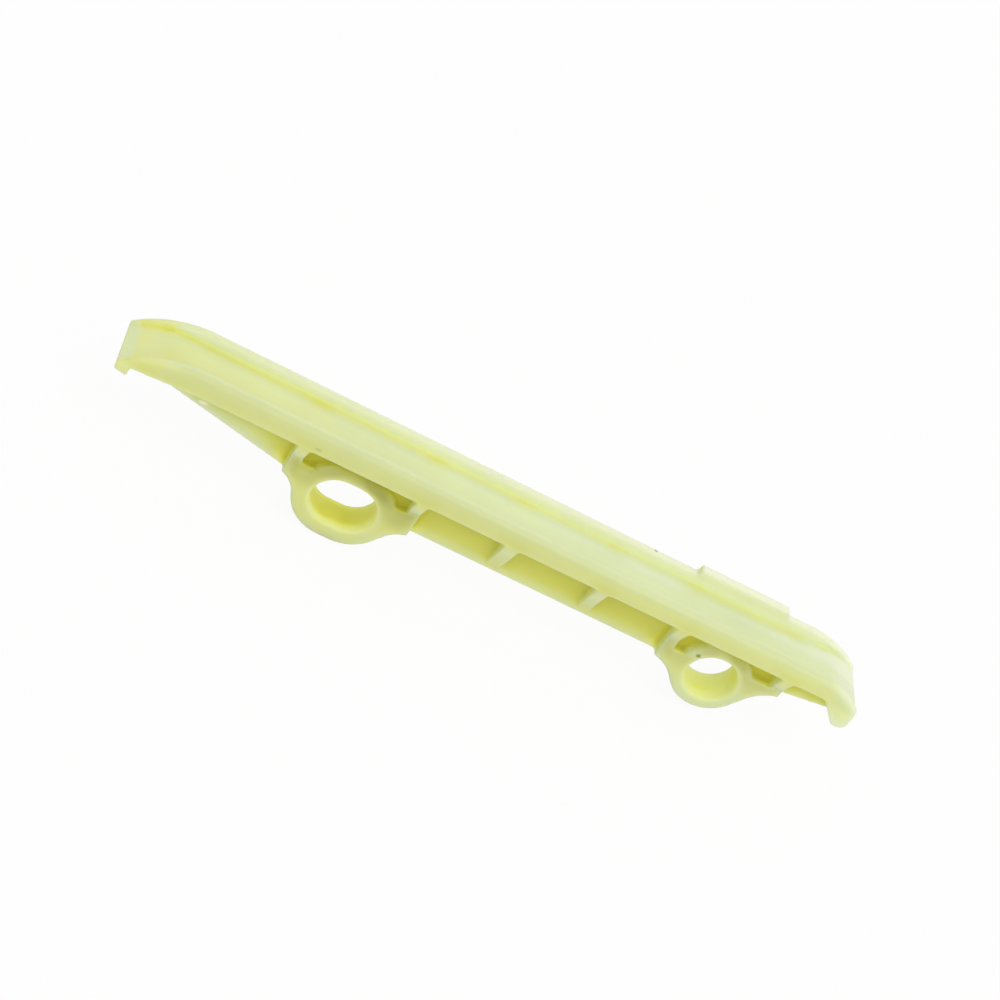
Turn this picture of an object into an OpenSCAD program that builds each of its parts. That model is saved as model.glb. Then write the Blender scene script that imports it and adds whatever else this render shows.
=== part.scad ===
// Timing chain guide: one moulded nylon piece.
// X runs along the rail, Y from the front to the back, Z up to the side the chain runs on.
// The origin is on the axis of the round bolt hole, in the seat face at the back of its boss.

/* [Rail] */
// Width across the rail
rail_w = 12; // [11:0.1:16]
// Height of the rail's underside above the round hole's axis
rail_z = 7; // [6.8:0.1:9]
// Thickness of the plate under the running surface
plate_t = 2.1; // [1.8:0.05:3]
// Height of the lips above the running surface
lip_h = 1.65; // [1.5:0.05:2.2]
// Thickness of each lip
lip_t = 1.7; // [1.4:0.05:2.2]
// Radius on the outer top edge of a lip
lip_round = 0.8; // [0.3:0.05:0.85]
// Radius on the inner top edge of a lip
lip_inner_round = 0.5; // [0.2:0.05:0.5]
// Radius of the fillet at the foot of a lip
foot_fillet = 0.9; // [0.3:0.05:1]

/* [Left end] */
// Distance from the round hole to the left end
left_reach = 104.1; // [98:0.1:120]
// Length of the nose at lip height
left_nose = 11.8; // [11.2:0.1:12.4]
// Radius of the nose at lip height
left_nose_r = 17.7; // [17:0.1:20]
// Length of the nose of the running surface
left_run = 10.3; // [10:0.1:10.8]
// Radius of the nose of the running surface
left_run_r = 19; // [17:0.1:19.5]
// Length over which the underside falls to the hook
left_fall_l = 10; // [6:0.1:14]
// Fall of the underside at the hook
left_fall = 0.6; // [0.2:0.05:0.8]
// Thickness of the hook
left_hook_t = 2.1; // [1.5:0.1:3]
// Depth of the hook's inner edge below the rail
left_hook_h = 2.1; // [1.6:0.1:2.6]
// Rise of the hook's lower face towards its outer edge
left_hook_rise = 0.35; // [0.1:0.05:0.6]

/* [Right end] */
// Distance from the round hole to the right end
right_reach = 22.3; // [21:0.1:26]
// Length of the nose at lip height
right_nose = 9.8; // [8:0.1:10.5]
// Length of the nose of the running surface
right_run = 7.6; // [7.4:0.1:8.4]
// Radius of both noses
right_nose_r = 16; // [15:0.1:20]
// Thickness of the hook at its tip
right_hook_t = 2.3; // [2:0.1:3]
// Thickness of the hook at its root
right_hook_root = 5.7; // [4:0.1:6.5]
// Depth of the hook below the rail
right_hook_h = 3.7; // [3.4:0.1:4.2]
// Radius on the hook's outer lower edge
right_hook_round = 1.2; // [0.4:0.1:1.6]

/* [Tab on the back lip] */
// Height above the lip
tab_h = 1.1; // [0.5:0.05:2]
// Left end of its top, from the round hole
tab_left = -8.7; // [-12:0.1:-6]
// Right end of its top, from the round hole
tab_right = 7.2; // [4:0.1:9]
// How far its left end slopes out
tab_left_slope = 0.5; // [0.1:0.1:2]
// How far its right end slopes out
tab_right_slope = 1.1; // [0.1:0.1:2]

/* [Web] */
// Distance from the rail's front to the web
web_setback = 3.1; // [2.5:0.1:4.5]
// Thickness of the web
web_t = 2.6; // [1.6:0.1:3.4]
// Height of its lower edge between the bosses
web_z = -0.4; // [-1.5:0.1:1]
// Height of its lower edge at the left boss
web_left_z = 0.2; // [-0.5:0.1:1]
// Distance of its lower edge below the rail at the left hook
web_left_drop = 1.1; // [0.6:0.1:1.6]
// Height of its lower edge at the right boss
web_right_z = 2.3; // [2:0.1:3]
// Distance of its lower edge below the rail at the right hook
web_right_drop = 3.2; // [2:0.1:3.4]

/* [Bolt holes] */
// Diameter of the round hole
hole_d = 8.5; // [6.6:0.1:9]
// Width of the slotted hole
slot_w = 8.4; // [6.6:0.1:9]
// Length of the slotted hole
slot_l = 10.5; // [9.2:0.1:12]
// Distance between the two holes
hole_pitch = 64.4; // [60:0.1:70]
// Height of the slotted hole's axis against the round one's
slot_z = -0.6; // [-2:0.1:0]
// Radius on the front mouths of both holes
mouth_round = 0.3; // [0.2:0.1:0.8]

/* [Bosses] */
// Length of both bosses along the bolt
boss_l = 6.4; // [5.8:0.1:8]
// Distance from the rail's front to the bosses' front face
boss_setback = 1.6; // [0.8:0.1:2.2]
// Wall round the round hole
hole_wall = 2.2; // [1.6:0.1:2.4]
// Wall round the slotted hole
slot_wall = 2.8; // [1.8:0.1:2.9]
// Radius on the rims of both bosses
rim_round = 0.7; // [0.2:0.1:0.8]
// Radius of the fillets between the slotted boss and the web
slot_fillet = 4.5; // [2:0.1:6]
// Radius of the fillets between the round boss and the web
hole_fillet = 7; // [3:0.1:8]
// Height of the arms' upper edge beside the slotted boss
slot_arm_z = 3.3; // [2:0.1:4]
// Height of the left arm's upper edge beside the round boss
hole_arm_left_z = 2.1; // [1.5:0.1:4]
// Height of the right arm's upper edge beside the round boss
hole_arm_right_z = 3.4; // [3.2:0.1:4.5]

/* [Ribs] */
// Thickness of the ribs
rib_t = 1.9; // [1.2:0.1:2.6]
// Height over which a rib slopes in to the web
rib_h = 5.6; // [4:0.1:6.4]
// Distance from the slotted hole to the rib on each side of it
slot_rib = 9.8; // [9:0.1:12]
// Distance from the round hole to the rib on its left
hole_rib_left = 9.1; // [8.5:0.1:11]
// Distance from the round hole to the rib on its right
hole_rib_right = 9.9; // [9:0.1:10.5]
// Number of ribs between the bosses
mid_ribs = 2; // [1:1:2]
// Distance from rib to rib, counted from the slotted boss
rib_pitch = 15.5; // [12:0.1:16]

/* [Hidden] */
$fn = 64;
nylon = [0.86, 0.89, 0.66];
// Amount by which joined forms run into each other, and cuts run past a face
bite = 0.5;
// Reach of the plain blocks that outlines are cut from
far = 200;
// Turn by which the swept lips run past the ends before they are trimmed
overrun = 6;

front_y = -boss_l - boss_setback;
back_y = front_y + rail_w;
web_front_y = front_y + web_setback;
web_back_y = web_front_y + web_t;
run_z = rail_z + plate_t;
lip_z = run_z + lip_h;

// Distance from a lip's outer face to the middle of its flat crest
lip_crest = (lip_round + lip_t - lip_inner_round) / 2;

left_x = -left_reach;
left_straight_x = left_x + left_nose;
right_straight_x = right_reach - right_nose;
left_hook_x = left_x + left_hook_t;

slot_half = (slot_l - slot_w) / 2;
slot_r = slot_w / 2 + slot_wall;
hole_r = hole_d / 2 + hole_wall;
hole_c = [0, 0];
slot_c = [-hole_pitch, slot_z];
slot_left_c = slot_c - [slot_half, 0];
slot_right_c = slot_c + [slot_half, 0];

slot_rib_left_x = slot_c.x - slot_rib;
slot_rib_right_x = slot_c.x + slot_rib;
web_left_foot = [slot_rib_left_x, web_left_z];
web_left_end = [left_hook_x, rail_z - web_left_drop];
web_right_foot = [hole_rib_right, web_right_z];
web_right_end = [right_reach - right_hook_t, rail_z - web_right_drop];
web_left_way = unit(web_left_end - web_left_foot);
web_right_way = unit(web_right_end - web_right_foot);

function unit(v) = v / norm(v);

// Normal of the direction u that points down
function below(u) = u.x > 0 ? [u.y, -u.x] : [-u.y, u.x];

// Centre of the fillet of radius r below the line from p along u, against the disc (c, disc_r)
function fillet_centre(c, disc_r, p, u, r) =
    let (d = c - p)
    let (across = d * below(u) - r)
    p + below(u) * r + u * (d * u + sqrt(pow(disc_r + r, 2) - across * across));

// A flat shape in X and Z, given thickness from y0 to y1
module along_y(y0, y1) {
    translate([0, y1, 0])
        rotate([90, 0, 0])
            linear_extrude(y1 - y0)
                children();
}

// A flat shape in Y and Z, given thickness from x0 to x1
module along_x(x0, x1) {
    translate([x0, 0, 0])
        rotate([90, 0, 90])
            linear_extrude(x1 - x0)
                children();
}

// A section in Y and height, bent down from upright towards +X at radius r and by the given angle
module swept_nose(r, turn) {
    translate([0, 0, -r])
        rotate([0, -90, 0])
            rotate([-90, 0, 0])
                rotate_extrude(angle = turn)
                    translate([r, 0])
                        mirror([1, -1])
                            children();
}

// Block in X and Z from x0 to x1 that reaches from height z down
module block_below(x0, x1, z) {
    translate([x0, z - far])
        square([x1 - x0, far]);
}

// The part of a disc between x0 and x1
module disc_strip(c, r, x0, x1) {
    intersection() {
        translate(c)
            circle(r);
        block_below(x0, x1, far / 2);
    }
}

// Side outline under the lips' top edge, lowered by drop
module lip_outline(drop) {
    left_c = [left_straight_x, lip_z - left_nose_r];
    right_c = [right_straight_x, lip_z - right_nose_r];
    block_below(left_straight_x, right_straight_x, lip_z - drop);
    disc_strip(left_c, left_nose_r - drop, left_x - bite, left_straight_x);
    disc_strip(right_c, right_nose_r - drop, right_straight_x, right_reach + bite);
}

// Side outline under the running surface, which rises to the lips' edge at both ends
module run_outline() {
    x0 = left_x + left_run;
    x1 = right_reach - right_run;
    block_below(x0, x1, run_z);
    disc_strip([x0, run_z - left_run_r], left_run_r, left_x - bite, x0);
    disc_strip([x1, run_z - right_nose_r], right_nose_r, x1, right_reach + bite);
}

// Everything above the underside of the rail and its hooks, between the ends
module under_limit() {
    tip_z = rail_z - right_hook_h;
    difference() {
        polygon([
            [left_x, rail_z - left_hook_h + left_hook_rise],
            [left_hook_x, rail_z - left_hook_h],
            [left_hook_x, rail_z - left_fall],
            [left_hook_x + left_fall_l, rail_z],
            [right_reach - right_hook_root, rail_z],
            [right_reach - right_hook_t, tip_z],
            [right_reach, tip_z],
            [right_reach, far / 2],
            [left_x, far / 2]
        ]);
        difference() {
            translate([right_reach - right_hook_round, tip_z - bite])
                square(right_hook_round + bite);
            translate([right_reach - right_hook_round, tip_z + right_hook_round])
                circle(right_hook_round);
        }
    }
}

// Section of the front lip: outer face at 0, top at height 0, fillet at its inner foot
module lip_section() {
    difference() {
        translate([0, -lip_h - bite])
            square([lip_t + foot_fillet, lip_h + bite]);
        translate([lip_t, -lip_h + foot_fillet])
            square([foot_fillet + bite, lip_h]);
        translate([lip_t + foot_fillet, -lip_h + foot_fillet])
            circle(foot_fillet);
        difference() {
            translate([-bite, -lip_round])
                square(lip_round + bite);
            translate([lip_round, -lip_round])
                circle(lip_round);
        }
        difference() {
            translate([lip_t - lip_inner_round, -lip_inner_round])
                square(lip_inner_round + bite);
            translate([lip_t - lip_inner_round, -lip_inner_round])
                circle(lip_inner_round);
        }
    }
}

module lip_pair_section() {
    translate([front_y, 0])
        lip_section();
    translate([back_y, 0])
        mirror([1, 0])
            lip_section();
}

// Keeps what lies above the underside and between the ends
module trimmed() {
    intersection() {
        children();
        along_y(front_y - bite, back_y + bite)
            under_limit();
    }
}

// Both lips along the straight and the noses
module lips() {
    translate([0, 0, lip_z])
        along_x(left_straight_x, right_straight_x)
            lip_pair_section();
    trimmed()
        translate([left_straight_x, 0, lip_z])
            mirror([1, 0, 0])
                swept_nose(left_nose_r, asin(left_nose / left_nose_r) + overrun)
                    lip_pair_section();
    trimmed()
        translate([right_straight_x, 0, lip_z])
            swept_nose(right_nose_r, asin(right_nose / right_nose_r) + overrun)
                lip_pair_section();
}

// Plate, lips and hooks
module rail() {
    along_y(front_y, back_y)
        intersection() {
            lip_outline(lip_h);
            under_limit();
        }
    along_y(front_y + lip_crest, back_y - lip_crest)
        intersection() {
            run_outline();
            under_limit();
        }
    lips();
}

module tab() {
    along_y(back_y - lip_t, back_y)
        polygon([
            [tab_left - tab_left_slope, lip_z - lip_round],
            [tab_left, lip_z + tab_h],
            [tab_right, lip_z + tab_h],
            [tab_right + tab_right_slope, lip_z - lip_round]
        ]);
}

// Fillet of radius r below the line from p along u, against the disc (c, disc_r)
module edge_fillet(c, disc_r, p, u, r) {
    q = fillet_centre(c, disc_r, p, u, r);
    difference() {
        polygon([q - r * below(u), q, c]);
        translate(q)
            circle(r);
    }
}

// Web and arms seen from the front, with the fillets that lead into the bosses
module web_outline() {
    polygon([
        [left_hook_x + left_fall_l, rail_z + bite],
        [left_hook_x - bite, rail_z - left_fall],
        [left_hook_x - bite, web_left_end.y],
        web_left_end,
        web_left_foot,
        slot_left_c,
        slot_right_c,
        [slot_rib_right_x, web_z],
        [-hole_rib_left, web_z],
        hole_c,
        web_right_foot,
        web_right_end,
        [web_right_end.x + bite, web_right_end.y],
        [web_right_end.x + bite, rail_z + bite]
    ]);
    edge_fillet(slot_left_c, slot_r, web_left_foot, web_left_way, slot_fillet);
    edge_fillet(slot_right_c, slot_r, [slot_c.x, web_z], [1, 0], slot_fillet);
    edge_fillet(hole_c, hole_r, [hole_c.x, web_z], [-1, 0], hole_fillet);
    edge_fillet(hole_c, hole_r, web_right_foot, web_right_way, hole_fillet);
}

// The stretch of the web outline from x0 to x1 and below z
module arm_outline(x0, x1, z) {
    intersection() {
        web_outline();
        block_below(x0, x1, z);
    }
}

// Half section of a boss of radius r, with rounded rims, from its axis out
module boss_section(r) {
    difference() {
        square([r, boss_l]);
        for (end = [0, 1])
            translate([r - rim_round, end * boss_l])
                mirror([0, end])
                    difference() {
                        translate([0, -bite])
                            square(rim_round + bite);
                        translate([0, rim_round])
                            circle(rim_round);
                    }
    }
}

// Bosses with the arms that tie them to their ribs
module ears() {
    along_y(-boss_l, 0) {
        arm_outline(slot_rib_left_x - rib_t / 2, slot_rib_right_x + rib_t / 2, slot_arm_z);
        arm_outline(-hole_rib_left - rib_t / 2, hole_c.x, hole_arm_left_z);
        arm_outline(hole_c.x, hole_rib_right + rib_t / 2, hole_arm_right_z);
    }
    rotate([90, 0, 0])
        rotate_extrude()
            boss_section(hole_r);
    translate([slot_c.x, 0, slot_c.y])
        rotate([90, 0, 0])
            for (side = [-1, 1]) {
                translate([side * slot_half, 0, 0])
                    rotate_extrude()
                        boss_section(slot_r);
                rotate([90, 0, 90])
                    linear_extrude(2 * slot_half, center = true)
                        mirror([side > 0 ? 1 : 0, 0])
                            boss_section(slot_r);
            }
}

// Half section of the cut for a hole of radius r, wider at its front mouth
module hole_section(r) {
    translate([0, -bite])
        square([r, boss_l + 2 * bite]);
    difference() {
        translate([0, boss_l - mouth_round])
            square([r + mouth_round, mouth_round + bite]);
        translate([r + mouth_round, boss_l - mouth_round])
            circle(mouth_round);
    }
}

module round_hole() {
    translate([hole_c.x, 0, hole_c.y])
        rotate([90, 0, 0])
            rotate_extrude()
                hole_section(hole_d / 2);
}

module slotted_hole() {
    translate([slot_c.x, 0, slot_c.y])
        rotate([90, 0, 0])
            for (side = [-1, 1]) {
                translate([side * slot_half, 0, 0])
                    rotate([0, 0, -side * 90])
                        rotate_extrude(angle = 180)
                            hole_section(slot_w / 2);
                rotate([90, 0, 90])
                    linear_extrude(2 * slot_half, center = true)
                        mirror([side > 0 ? 1 : 0, 0])
                            hole_section(slot_w / 2);
            }
}

// Outline of a rib in Y and Z: it slopes from the rail's edge to the face it stands on,
// then runs down to low
module rib_outline(edge_y, face_y, slope, low) {
    turn_z = rail_z - abs(face_y - edge_y) * slope;
    root_y = (web_front_y + web_back_y) / 2;
    polygon([
        [edge_y, rail_z],
        [face_y, turn_z],
        [face_y, min(low, turn_z)],
        [root_y, min(low, turn_z)],
        [root_y, rail_z + bite],
        [edge_y, rail_z + bite]
    ]);
}

// Rib in front of and behind the web, ending on the faces front and back
module rib(x, front, back, low) {
    along_x(x - rib_t / 2, x + rib_t / 2) {
        rib_outline(front_y, front, rib_h / web_setback, low);
        rib_outline(back_y, back, rib_h / (back_y - web_back_y), low);
    }
}

module ribs() {
    rib(slot_rib_left_x, -boss_l, 0, web_left_z + rib_t);
    rib(slot_rib_right_x, -boss_l, 0, web_z + rib_t);
    rib(-hole_rib_left, -boss_l, 0, web_z + rib_t);
    rib(hole_rib_right, -boss_l, 0, web_right_z + bite);
    for (i = [1 : mid_ribs])
        rib(slot_rib_right_x + i * rib_pitch, web_front_y, web_back_y, rail_z);
}

module chain_guide() {
    color(nylon)
        difference() {
            union() {
                rail();
                tab();
                along_y(web_front_y, web_back_y)
                    web_outline();
                ears();
                ribs();
            }
            round_hole();
            slotted_hole();
        }
}

chain_guide();
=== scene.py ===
import bmesh
import bpy
import numpy as np
from mathutils import Matrix, Vector
from mathutils.bvhtree import BVHTree


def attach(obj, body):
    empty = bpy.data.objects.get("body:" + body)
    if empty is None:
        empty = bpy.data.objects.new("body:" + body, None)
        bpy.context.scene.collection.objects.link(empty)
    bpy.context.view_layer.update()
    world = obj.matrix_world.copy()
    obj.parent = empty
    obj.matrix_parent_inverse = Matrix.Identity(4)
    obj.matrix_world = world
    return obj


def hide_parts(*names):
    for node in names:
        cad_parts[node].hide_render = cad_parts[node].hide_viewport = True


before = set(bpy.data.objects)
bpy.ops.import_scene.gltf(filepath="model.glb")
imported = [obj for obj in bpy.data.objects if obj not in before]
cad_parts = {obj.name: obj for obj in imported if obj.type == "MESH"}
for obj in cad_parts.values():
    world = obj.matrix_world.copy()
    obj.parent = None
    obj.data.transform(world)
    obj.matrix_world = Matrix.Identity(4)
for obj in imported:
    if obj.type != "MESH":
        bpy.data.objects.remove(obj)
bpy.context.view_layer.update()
print("frame loaded, nodes:", sorted(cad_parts))

scene = bpy.context.scene
mm = 0.001


def toLinear(hexColour):
    # sRGB hex, such as "D9E0A8", to linear RGBA
    parts = [int(hexColour[i:i + 2], 16) / 255 for i in (0, 2, 4)]
    return tuple(c / 12.92 if c <= 0.04045 else ((c + 0.055) / 1.055) ** 2.4 for c in parts) + (1.0,)


def addNode(tree, kind, settings=None, **inputs):
    # an input is a value, or an output socket that gets linked; i0, i1 and so on give a socket by its number
    node = tree.nodes.new(kind)
    for name, value in (settings or {}).items():
        setattr(node, name, value)
    for name, value in inputs.items():
        numbered = name[0] == "i" and name[1:].isdigit()
        socket = node.inputs[int(name[1:]) if numbered else name.replace("_", " ")]
        if isinstance(value, bpy.types.NodeSocket):
            tree.links.new(value, socket)
        else:
            socket.default_value = value
    return node


def newMaterial(name):
    material = bpy.data.materials.new(name)
    material.use_nodes = True
    material.node_tree.nodes.clear()
    return material, material.node_tree


def seenDirectly(tree):
    # 1 where the camera sees the background, also in gloss or through something clear, 0 where it gives light
    ray = addNode(tree, "ShaderNodeLightPath")
    mirrored = addNode(tree, "ShaderNodeMath", {"operation": "MAXIMUM"},
                       i0=ray.outputs["Is Glossy Ray"], i1=ray.outputs["Is Transmission Ray"])
    return addNode(tree, "ShaderNodeMath", {"operation": "MAXIMUM"},
                   i0=ray.outputs["Is Camera Ray"], i1=mirrored.outputs[0]).outputs[0]


# camera, from a fit to points measured on the photograph
cameraView = {
    "place": (-129.25, -279.69, 203.13),  # mm
    "right": (0.8711, 0.0696, 0.4862),
    "up": (-0.4255, 0.6014, 0.6762),
    "lens": 83.447,        # mm
    "sensor": 36.0,        # mm
    "clip": (0.01, 20.0),  # m, the nearest and the furthest that is drawn
}


def makeCamera(v):
    data = bpy.data.cameras.new("camera")
    data.lens = v["lens"]
    data.sensor_width = v["sensor"]
    data.clip_start, data.clip_end = v["clip"]
    right = Vector(v["right"]).normalized()
    back = right.cross(Vector(v["up"])).normalized()
    up = back.cross(right)
    turn = Matrix((right, up, back)).transposed().to_4x4()
    camera = bpy.data.objects.new("camera", data)
    camera.matrix_world = Matrix.Translation(Vector(v["place"]) * mm) @ turn
    scene.collection.objects.link(camera)
    scene.camera = camera


makeCamera(cameraView)
print("camera placed")


# the moulding: the CAD solid with the small radii that a mould has on every edge
mouldedForm = {
    "weld": 0.001,      # mm, joins the solid's faces
    "fineVoxel": 0.15,  # mm, rounds the edges without steps
    "fineRounds": 4,
    "voxel": 0.28,      # mm, the even mesh that is kept
    "rounds": 2,
    "smoothing": 0.5,
    # the two middle ribs run out to the web's lower edge: sides in x, then y and z of edge and foot, in mm
    "ribs": ((-40.5, -38.3), (-24.6, -22.6)),
    "ribEdge": (-7.98, 7.02),
    "ribFoot": (-4.88, 0.3),
    "ribRoot": -3.6,    # y, inside the web
}


def remeshed(guide, voxel, smoothing, rounds):
    remesh = guide.modifiers.new("even mesh", "REMESH")
    remesh.mode = "VOXEL"
    remesh.voxel_size = voxel * mm
    soften = guide.modifiers.new("edge radii", "SMOOTH")
    soften.factor = smoothing
    soften.iterations = rounds
    bpy.context.view_layer.update()
    mesh = bpy.data.meshes.new_from_object(guide.evaluated_get(bpy.context.evaluated_depsgraph_get()))
    guide.modifiers.clear()
    guide.data = mesh


def addRib(work, v, sides):
    outline = (v["ribEdge"], v["ribFoot"], (v["ribRoot"], v["ribFoot"][1]), (v["ribRoot"], v["ribEdge"][1]))
    left, right = ([work.verts.new((x * mm, y * mm, z * mm)) for y, z in outline] for x in sides)
    faces = [work.faces.new(left), work.faces.new(right)]
    faces += [work.faces.new((left[i], left[i - 1], right[i - 1], right[i])) for i in range(len(outline))]
    bmesh.ops.recalc_face_normals(work, faces=faces)


def makeGuide(v):
    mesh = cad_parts["chain_guide"].data.copy()
    work = bmesh.new()
    work.from_mesh(mesh)
    bmesh.ops.remove_doubles(work, verts=work.verts, dist=v["weld"] * mm)
    for sides in v["ribs"]:
        addRib(work, v, sides)  # the remesh below makes one body of all
    work.to_mesh(mesh)
    work.free()
    guide = bpy.data.objects.new("moulded_guide", mesh)
    scene.collection.objects.link(guide)
    remeshed(guide, v["fineVoxel"], v["smoothing"], v["fineRounds"])
    rounded = guide.data
    fine = BVHTree.FromPolygons([p.co for p in rounded.vertices], [f.vertices for f in rounded.polygons])
    remeshed(guide, v["voxel"], v["smoothing"], v["rounds"])
    # back onto the fine mesh, which keeps the corners of the pockets crisp
    for point in guide.data.vertices:
        point.co = fine.find_nearest(point.co)[0]
    guide.data.materials.clear()
    guide.data.shade_smooth()
    return guide


guide = makeGuide(mouldedForm)
print("guide moulded, faces:", len(guide.data.polygons))


# how open and how thick the moulding is at each point, felt with rays: their number, and their reach in mm
lightPaths = {
    "outside": (20, 14.0),
    "wall": (9, 4.0),
    "bulk": (9, 8.0),
    "lift": 0.05,        # mm, the rays start this far off the face
    "upTilt": 0.8,       # how far the rays that feel for light from above lean upwards
    "hollowRounds": 24,  # rounds of smoothing that show how hollow a place is
}


def hemisphere(count):
    # even directions, weighted to the normal
    k = np.arange(count) + 0.5
    across = np.sqrt(k / count)
    turn = k * np.pi * (3 - np.sqrt(5))
    return np.stack([across * np.cos(turn), across * np.sin(turn), np.sqrt(1 - k / count)], axis=1)


def meanReach(tree, points, normals, axes, lift, rays, reach):
    # share of the reach that is free, on average, in a hemisphere round the axes
    nearX = np.abs(axes[:, :1]) > 0.8  # these need another helper axis
    side = np.cross(axes, np.where(nearX, [[0.0, 1.0, 0.0]], [[1.0, 0.0, 0.0]]))
    side /= np.linalg.norm(side, axis=1, keepdims=True)
    other = np.cross(axes, side)
    starts = (points + normals * lift * mm).tolist()
    furthest = reach * mm
    total = np.zeros(len(points))
    for x, y, z in hemisphere(rays):
        ways = side * x + other * y + axes * z
        # a ray that would go into the face is mirrored back out
        ways -= 2 * np.minimum((ways * normals).sum(axis=1, keepdims=True), 0) * normals
        total += [tree.ray_cast(p, d, furthest)[3] or furthest for p, d in zip(starts, ways.tolist())]
    return total / (rays * furthest)


def blurred(values, edges, rounds):
    ends = np.concatenate([edges[:, 0], edges[:, 1]])
    others = np.concatenate([edges[:, 1], edges[:, 0]])
    degree = np.bincount(ends, minlength=len(values))
    for i in range(rounds):
        sums = [np.bincount(ends, column[others], len(values)) for column in values.T]
        values = 0.5 * values + 0.5 * np.stack(sums, axis=1) / degree[:, None]
    return values


def readMesh(mesh):
    points = np.zeros(len(mesh.vertices) * 3)
    mesh.vertices.foreach_get("co", points)
    normals = np.zeros(len(mesh.vertices) * 3)
    mesh.vertex_normals.foreach_get("vector", normals)
    edges = np.zeros(len(mesh.edges) * 2, dtype=int)
    mesh.edges.foreach_get("vertices", edges)
    return points.reshape(-1, 3), normals.reshape(-1, 3), edges.reshape(-1, 2)


def measureForm(mesh, v):
    points, normals, edges = readMesh(mesh)
    tree = BVHTree.FromPolygons(points.tolist(), [tuple(f.vertices) for f in mesh.polygons])
    outward = (tree, points, normals)
    inward = (tree, points, -normals)
    upward = normals + np.array([0.0, 0.0, v["upTilt"]])
    upward /= np.linalg.norm(upward, axis=1, keepdims=True)
    filled = blurred(points, edges, v["hollowRounds"]) - points
    return {
        "place": points / mm,
        "facing": normals,
        "edges": edges,
        "open": meanReach(*outward, normals, v["lift"], *v["outside"]),
        "lit": meanReach(*outward, upward, v["lift"], *v["outside"]),
        "thickness": meanReach(*inward, -normals, v["lift"], *v["wall"]),
        "bulk": meanReach(*inward, -normals, v["lift"], *v["bulk"]),
        "hollow": np.maximum((filled * normals).sum(axis=1) / mm, 0),  # mm that smoothing would fill
    }


form = measureForm(guide.data, lightPaths)
print("form measured, points:", len(form["place"]))


# where the parts of the moulding lie, in mm; a pair is where something begins and where it is full
guidePlaces = {
    "railTop": 8.0,            # z
    "railFoot": 7.0,           # z
    "railMiddle": -2.0,        # y
    "frontFace": -7.5,         # y, the rail's front face is before this
    "ribFace": -6.9,           # y, the ribs' edges are before this
    "pocket": -5.4,            # y, the pockets in the ears are behind this
    "rightEnd": (16.0, 19.0),  # x
    "leftEnd": -98.0,          # x
    "leftTip": (-101.0, -102.5),
    "holes": ((0.0, 0.0, 4.25, 0.0), (-64.4, -0.6, 4.2, 1.05)),  # x, z, radius and half the straight
    "wall": (0.2, 0.05),       # from a hole's radius
    "rim": 0.45,               # from a hole's radius
    "ear": (12.0, 11.5),       # from the middle of a hole
    "earRibs": (14.0, 13.5),   # from the middle of a hole
}


def ramp(values, start, full):
    # 0 up to the start, 1 from where it is full
    return np.clip((values - start) / (full - start), 0, 1)


def earParts(form, p, hole):
    # how much each point belongs to a hole's wall, to its front rim, to its ear and to the ribs beside it
    holeX, holeZ, radius, half = hole
    x, y, z = form["place"].T
    underRail = z <= p["railFoot"]
    across = np.hypot(np.maximum(np.abs(x - holeX) - half, 0), z - holeZ)
    return {
        "wall": ramp(across - radius, *p["wall"]),
        "rim": (across < radius + p["rim"]) & (y < p["pocket"]),
        "ear": ramp(across, *p["ear"]) * (y > p["ribFace"]) * underRail,
        "ribs": ramp(across, *p["earRibs"]) * (y < p["ribFace"]) * underRail,
    }


# colour depth, mostly painted light and shade: nylon is paler where it is thin, as painted light through the
# material, and deeper yellow in recesses, as painted shade; a plain face, then what each thing adds
paintedDepthLook = {
    "ends": (-1.0, 4.0),          # palest and deepest of all
    # painted light through thin parts: paler where thinner
    "plain": 2.0,
    "perThickness": 6.0,
    "plainThickness": 0.77,
    "thicknesses": (0.66, 0.86),  # beyond these it makes no more difference
    "frontThickness": 0.79,       # the most that counts on the rail's front face
    # painted shade: deeper where sheltered
    "perShelter": 1.8,
    "perShade": 2.2,              # painted shade where cut off from light from above
    "sideShare": 0.9,             # share of the shelter that faces towards the ends do without
    "topShare": 0.4,              # share of the shelter that counts on the rail's top
    "perHollow": 2.5,             # painted shade in hollows, for each mm
    "perDown": -1.2,              # painted light on faces that look down to the white floor
    "perBright": -1.6,            # painted sheen on open faces on the side that catches most light
    "brightWay": (0.42, 0.25, 0.87),
    "brightOpen": (0.8, 0.92),
    "perMm": -0.013,              # painted light: faces that look up, paler towards the right end
    "middle": -41.0,              # mm
    "palest": (1.1, -1.0),        # on the front and the back half of the rail
    "perInside": -2.2,            # painted light on the inner wall of the back lip, as if lit through the thin lip
    "insideFrom": (9.25, 9.7),    # mm
    "insideFacing": (0.5, 1.0),
    "perEnd": -0.9,               # painted light on the right end, as if light entered it from three sides
    "perWeb": -1.2,               # painted light on the low left end of the web
    "webEnd": (-76.0, -82.0),     # mm
    "perFront": 0.28,             # the rail's front face, towards its lower edge
    "frontLow": (8.8, 7.8),       # mm
    "perTipTop": 0.4,             # the left tip's top
    "perTipFront": -0.5,          # and its front face
    "perEarRib": 0.6,             # edges of the ribs beside the ears
    "perWall": 0.4,               # painted glow on the walls of the holes, as if lit through the ring
    "rim": 1.9,                   # the holes' front rims are no paler than this
    "perEar": (-0.45, -0.2),      # the ears with the round hole and the slot
    "deepest": (3.3, 4.0),        # on the web, and in the pockets and holes of the ears
    "blurRounds": 3,
}


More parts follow.
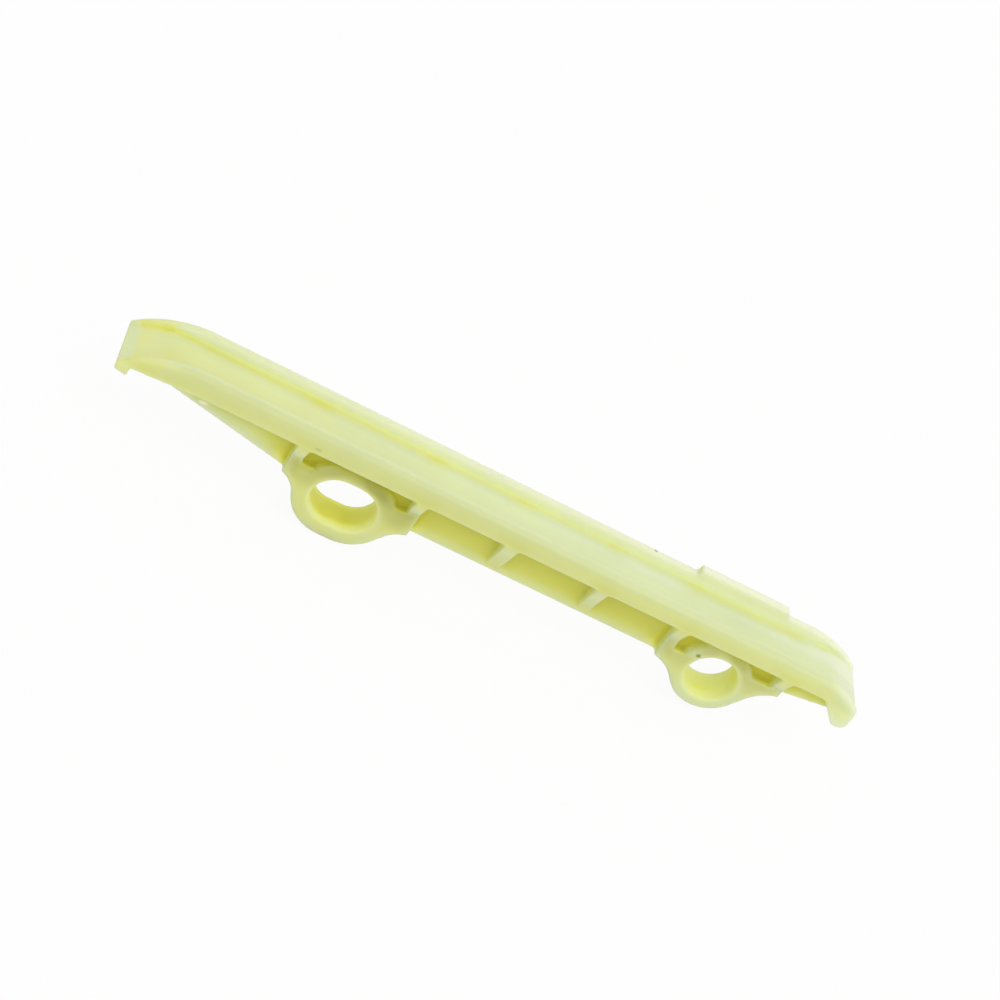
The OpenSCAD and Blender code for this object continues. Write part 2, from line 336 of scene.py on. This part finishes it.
def paintedDepth(form, p, v):
    x, y, z = form["place"].T
    facing = form["facing"]
    onRail = z > p["railFoot"]
    inFront = y < p["frontFace"]
    railFront = inFront & onRail & (x < p["rightEnd"][0])

    # painted light through thin parts, painted shade where sheltered or hollow
    thickness = np.where(railFront, np.minimum(form["thickness"], v["frontThickness"]), form["thickness"])
    thickness = np.where(x < p["leftEnd"], np.maximum(thickness, v["plainThickness"]), thickness)
    depth = v["plain"] + v["perThickness"] * (np.clip(thickness, *v["thicknesses"]) - v["plainThickness"])
    shelter = v["perShelter"] * (1 - form["open"]) + v["perShade"] * (1 - form["lit"])
    shelter *= np.where(z > p["railTop"], v["topShare"], 1.0) * (1 - v["sideShare"] * np.abs(facing[:, 0]))
    depth += shelter + v["perHollow"] * form["hollow"]

    # painted sheen towards the light, painted light from the floor and towards the right end
    way = np.array(v["brightWay"]) / np.linalg.norm(v["brightWay"])
    depth += v["perBright"] * np.maximum(facing @ way, 0) * ramp(form["open"], *v["brightOpen"])
    depth += v["perMm"] * (x - v["middle"]) * np.maximum(facing[:, 2], 0)
    depth += v["perDown"] * np.maximum(-facing[:, 2], 0)
    depth = np.maximum(depth, np.where(y < p["railMiddle"], *v["palest"]))

    # painted light on the back lip's inner wall, the right end and the web; the tips and the front face
    inside = ramp(z, *v["insideFrom"]) * (y > p["railMiddle"])
    depth += v["perInside"] * inside * ramp(-facing[:, 1], *v["insideFacing"])
    depth += v["perEnd"] * ramp(x, *p["rightEnd"])
    depth += v["perWeb"] * ramp(x, *v["webEnd"]) * (y > p["ribFace"]) * ~onRail
    depth += v["perFront"] * ramp(z, *v["frontLow"]) * railFront
    tip = np.where(inFront, v["perTipFront"], v["perTipTop"] * (facing[:, 2] > 0))
    depth += tip * ramp(x, *p["leftTip"])

    # ears
    palest, deepest = v["ends"]
    onWeb, inEar = v["deepest"]
    most = np.full(len(depth), onWeb)
    for hole, perEar in zip(p["holes"], v["perEar"]):
        part = earParts(form, p, hole)
        depth += v["perEarRib"] * part["ribs"]
        depth = np.maximum(depth + v["perWall"] * part["wall"], np.where(part["rim"], v["rim"], palest))
        depth += perEar * part["ear"] * (1 - part["wall"]) * (y < p["pocket"])
        most += (inEar - onWeb) * np.maximum(part["ear"], part["wall"])
    depth = np.clip(depth, palest, np.minimum(most, deepest))
    return (blurred(depth[:, None], form["edges"], v["blurRounds"])[:, 0] - palest) / (deepest - palest)


# colour shade, painted shade and painted light in the colour's brightness: from -1, painted glow as if lit
# through, to 1, painted shade as if cut off from light
paintedShadeLook = {
    "bulk": (0.4, 0.7),        # how thick an ear is where the rail's painted shade falls on it
    "perCut": 5.5,
    "cutFrom": 0.97,
    "mostCut": 0.75,
    # painted glow in the pockets and on the walls of the holes, painted light on the ribs, painted shade on
    # the front lip's top
    "pocket": -0.2,
    "pocketDepth": 0.8,        # mm
    "wall": -0.28,
    "rib": -0.12,
    "frontLip": 0.2,
    "lipTop": (10.0, 10.5),    # mm
    "lipFacing": (0.5, 0.0),   # without the rounding towards the channel
    "front": 0.065,            # painted shade on the left part of the rail's front face
    "frontPart": (-30.0, -50.0),  # mm
    "perGlow": -1.2,           # painted glow at the foot of the back lip, for each mm that it is hollow
    "corner": -0.3,            # painted light in closed corners, as if lit through the web
    "cornerLit": (0.45, 0.2),
    "blurRounds": 10,
}


def paintedShade(form, p, v):
    x, y, z = form["place"].T
    onRail = z > p["railFoot"]
    onLip = ramp(z, *v["lipTop"]) * ramp(form["facing"][:, 1], *v["lipFacing"]) * (y < p["railMiddle"])
    inFront = (y < p["frontFace"]) * (onRail | (x < p["leftEnd"]))
    # painted shade on the front lip's top and the front face's left part; painted glow and light at the back
    # lip's foot, ribs and closed corners
    shade = v["frontLip"] * onLip
    shade += v["front"] * ramp(x, *v["frontPart"]) * inFront
    shade += v["perGlow"] * form["hollow"] * (y > p["railMiddle"]) * onRail
    shade += v["rib"] * (y < p["ribFace"]) * ~onRail
    shade += v["corner"] * ramp(form["lit"], *v["cornerLit"]) * (y > p["ribFace"]) * ~onRail

    # ears: painted shade on their front face, painted glow in the pockets behind it and on the walls of the
    # holes
    cutOff = np.clip(v["perCut"] * (v["cutFrom"] - form["lit"]), 0, v["mostCut"])
    inPocket = y < p["pocket"] + v["pocketDepth"]
    earShade = np.where(y < p["pocket"], cutOff * ramp(form["bulk"], *v["bulk"]), v["pocket"] * inPocket)
    for hole in p["holes"]:
        part = earParts(form, p, hole)
        shade += earShade * part["ear"] * (1 - part["wall"]) + v["wall"] * part["wall"]
    return blurred(shade[:, None], form["edges"], v["blurRounds"])[:, 0]


def keepOnMesh(mesh, name, values):
    layer = mesh.attributes.new(name, "FLOAT", "POINT")
    layer.data.foreach_set("value", values.astype(np.float32))
    print("colour", name, values.min().round(2), "to", values.max().round(2))


# painted light and shade, kept on the mesh for the material
keepOnMesh(guide.data, "depth", paintedDepth(form, guidePlaces, paintedDepthLook))
keepOnMesh(guide.data, "shade", paintedShade(form, guidePlaces, paintedShadeLook))


# moulded nylon: natural polyamide straight from a spark-eroded mould, satin and milky,
# with painted light that makes thin lips and ribs pale and painted shade that makes the recesses deeper
# yellow
nylonLook = {
    "depths": ("EEF2D4", "E4E9CA", "DCE5B6", "E0E49C", "DDDE70", "D0CE44"),  # pale to deep
    "shade": 0.55,        # how much full painted shade takes away
    "ior": 1.53,
    "roughness": 0.48,
    "roughSpread": 0.06,
    "specular": 0.3,
    "scatter": 0.8,
    "scatterRadius": (2.5, 2.5, 1.2),  # mm
    "cloud": 7.0,         # mm, uneven natural colour
    "cloudNoise": {"Detail": 3.0, "Roughness": 0.55},
    "flow": (60.0, 3.0),  # mm, melt flow along and across the rail
    "flowNoise": {"Detail": 2.0, "Distortion": 0.4},
    "unevenFrom": (0.6, 1.4),
    "uneven": (0.96, 1.03),
    "grain": 0.35,        # mm; the real spark texture is near 0.05 mm, drawn coarser so that it shows
    "grainNoise": {"Detail": 2.0, "Roughness": 0.6},
    "grainFrom": (0.3, 0.7),
    "grainBump": 0.12,
    "grainDepth": 0.02,   # mm
    # dirt that the photograph shows: place, half width along and across the rail in mm, colour, strength
    "marks": {
        "speck on the round ear": ((-4.15, -6.4, 3.07), (0.55, 0.5), "6E7432", 0.75),
        "speck on the front edge": ((-72.4, -8.0, 8.05), (0.8, 0.35), "9A9A52", 0.3),
        "speck on the back lip": ((-16.7, 3.2, 10.75), (0.5, 0.5), "8A8E78", 0.7),
        "fleck on the left web": ((-90.0, -4.9, 4.4), (1.0, 0.45), "FFFDF0", 0.8),
    },
    "markFade": (0.3, 1.0),  # share of the half width where a mark begins to fade and ends
}


def makeNylon(v):
    material, tree = newMaterial("moulded_nylon")
    place = addNode(tree, "ShaderNodeTexCoord").outputs["Object"]
    cloud = addNode(tree, "ShaderNodeTexNoise", Vector=place, Scale=1 / (v["cloud"] * mm), **v["cloudNoise"])
    along, across = (1 / (size * mm) for size in v["flow"])
    stretch = addNode(tree, "ShaderNodeMapping", Vector=place, Scale=(along, across, across))
    flow = addNode(tree, "ShaderNodeTexNoise", Vector=stretch.outputs[0], Scale=1.0, **v["flowNoise"])
    grain = addNode(tree, "ShaderNodeTexNoise", Vector=place, Scale=1 / (v["grain"] * mm), **v["grainNoise"])

    # painted light and shade: pale where thin and open, deeper yellow where thick and sheltered
    depth = addNode(tree, "ShaderNodeAttribute", {"attribute_name": "depth"})
    depthColour = addNode(tree, "ShaderNodeValToRGB", Fac=depth.outputs["Fac"])
    stops = depthColour.color_ramp.elements
    while len(stops) < len(v["depths"]):
        stops.new(0.5)
    for i, hexColour in enumerate(v["depths"]):
        stops[i].position = i / (len(v["depths"]) - 1)
        stops[i].color = toLinear(hexColour)

    # uneven natural colour, faint flow streaks, and painted shade and glow
    unevenness = addNode(tree, "ShaderNodeMath", {"operation": "ADD"},
                         i0=cloud.outputs[0], i1=flow.outputs[0])
    low, high = v["unevenFrom"]
    darkest, brightest = v["uneven"]
    brightness = addNode(tree, "ShaderNodeMapRange", Value=unevenness.outputs[0],
                         i1=low, i2=high, i3=darkest, i4=brightest)
    shade = addNode(tree, "ShaderNodeAttribute", {"attribute_name": "shade"})
    litShare = addNode(tree, "ShaderNodeMapRange", Value=shade.outputs["Fac"],
                       i1=-1.0, i2=1.0, i3=1 + v["shade"], i4=1 - v["shade"])
    value = addNode(tree, "ShaderNodeMath", {"operation": "MULTIPLY"},
                    i0=brightness.outputs[0], i1=litShare.outputs[0])
    colour = addNode(tree, "ShaderNodeHueSaturation", Value=value.outputs[0], Color=depthColour.outputs[0])

    # each mark fades out from its middle
    skin = colour.outputs[0]
    low, high = v["markFade"]
    for name, (middle, (halfAlong, halfAcross), hexColour, strength) in v["marks"].items():
        away = addNode(tree, "ShaderNodeVectorMath", {"operation": "SUBTRACT", "label": name},
                       i0=place, i1=[c * mm for c in middle])
        perSize = [1 / (half * mm) for half in (halfAlong, halfAcross, halfAcross)]
        scaled = addNode(tree, "ShaderNodeVectorMath", {"operation": "MULTIPLY"},
                         i0=away.outputs[0], i1=perSize)
        distance = addNode(tree, "ShaderNodeVectorMath", {"operation": "LENGTH"}, i0=scaled.outputs[0])
        share = addNode(tree, "ShaderNodeMapRange", {"interpolation_type": "SMOOTHSTEP"},
                        Value=distance.outputs["Value"], i1=low, i2=high, i3=strength, i4=0.0)
        marked = addNode(tree, "ShaderNodeMix", {"data_type": "RGBA"},
                         i0=share.outputs[0], i6=skin, i7=toLinear(hexColour))
        skin = marked.outputs[2]

    low, high = v["grainFrom"]
    roughness = addNode(tree, "ShaderNodeMapRange", Value=grain.outputs[0], i1=low, i2=high,
                        i3=v["roughness"] - v["roughSpread"], i4=v["roughness"] + v["roughSpread"])
    bump = addNode(tree, "ShaderNodeBump", Height=grain.outputs[0],
                   Strength=v["grainBump"], Distance=v["grainDepth"] * mm)
    shader = addNode(tree, "ShaderNodeBsdfPrincipled", {"subsurface_method": "RANDOM_WALK"},
                     Base_Color=skin, Roughness=roughness.outputs[0], Normal=bump.outputs[0],
                     IOR=v["ior"], Specular_IOR_Level=v["specular"], Subsurface_Weight=v["scatter"],
                     Subsurface_Radius=v["scatterRadius"], Subsurface_Scale=mm)
    addNode(tree, "ShaderNodeOutputMaterial", Surface=shader.outputs[0])
    return material


guide.data.materials.append(makeNylon(nylonLook))
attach(guide, "root")
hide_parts("chain_guide")
print("nylon on the guide")


# floor just under the ears, plain white paper
studioFloor = {
    "height": -7.65,  # mm
    "reach": 6.0,     # m
    "paper": "F2F2F0",
    "whiteShare": 0.93,  # share of plain white that the camera sees, the rest shows the shadow
}


def makeFloor(v):
    r = v["reach"]
    mesh = bpy.data.meshes.new("floor")
    mesh.from_pydata([(-r, -r, 0), (r, -r, 0), (r, r, 0), (-r, r, 0)], [], [(0, 1, 2, 3)])
    floor = bpy.data.objects.new("floor", mesh)
    floor.location.z = v["height"] * mm
    scene.collection.objects.link(floor)
    material, tree = newMaterial("matt_paper")
    share = addNode(tree, "ShaderNodeMath", {"operation": "MULTIPLY"},
                    i0=seenDirectly(tree), i1=v["whiteShare"])
    paper = addNode(tree, "ShaderNodeBsdfDiffuse", Color=toLinear(v["paper"]))
    white = addNode(tree, "ShaderNodeEmission", Color=(1, 1, 1, 1), Strength=1.0)
    mix = addNode(tree, "ShaderNodeMixShader", i0=share.outputs[0], i1=paper.outputs[0], i2=white.outputs[0])
    addNode(tree, "ShaderNodeOutputMaterial", Surface=mix.outputs[0])
    mesh.materials.append(material)


makeFloor(studioFloor)
print("floor laid")


# soft studio light: an even white room, wide panels in front, overhead and behind
studioLight = {
    "room": 0.7,           # the light that it gives; the camera sees it as white
    "aim": (-41, -2, 4),   # mm, the middle of the guide
    "panels": {
        # place in mm, size in mm, watts
        "front": ((130, -420, 620), 600, 1.7),
        "overhead": ((150, 100, 700), 700, 0.2),
        "behind": ((190, 560, 400), 500, 0.5),
    },
}


def makeLights(v):
    world = bpy.data.worlds.new("room")
    world.use_nodes = True
    tree = world.node_tree
    tree.nodes.clear()
    strength = addNode(tree, "ShaderNodeMapRange", Value=seenDirectly(tree), i3=v["room"], i4=1.0)
    room = addNode(tree, "ShaderNodeBackground", Color=(1, 1, 1, 1), Strength=strength.outputs[0])
    addNode(tree, "ShaderNodeOutputWorld", Surface=room.outputs[0])
    scene.world = world
    for name, (place, size, watts) in v["panels"].items():
        data = bpy.data.lights.new(name, "AREA")
        data.shape = "SQUARE"
        data.size = size * mm
        data.energy = watts
        lamp = bpy.data.objects.new(name, data)
        lamp.location = Vector(place) * mm
        way = Vector(v["aim"]) * mm - lamp.location
        lamp.rotation_euler = way.to_track_quat("-Z", "Y").to_euler()
        scene.collection.objects.link(lamp)


makeLights(studioLight)
scene.view_settings.view_transform = "Standard"
print("lights set")

bpy.context.view_layer.update()
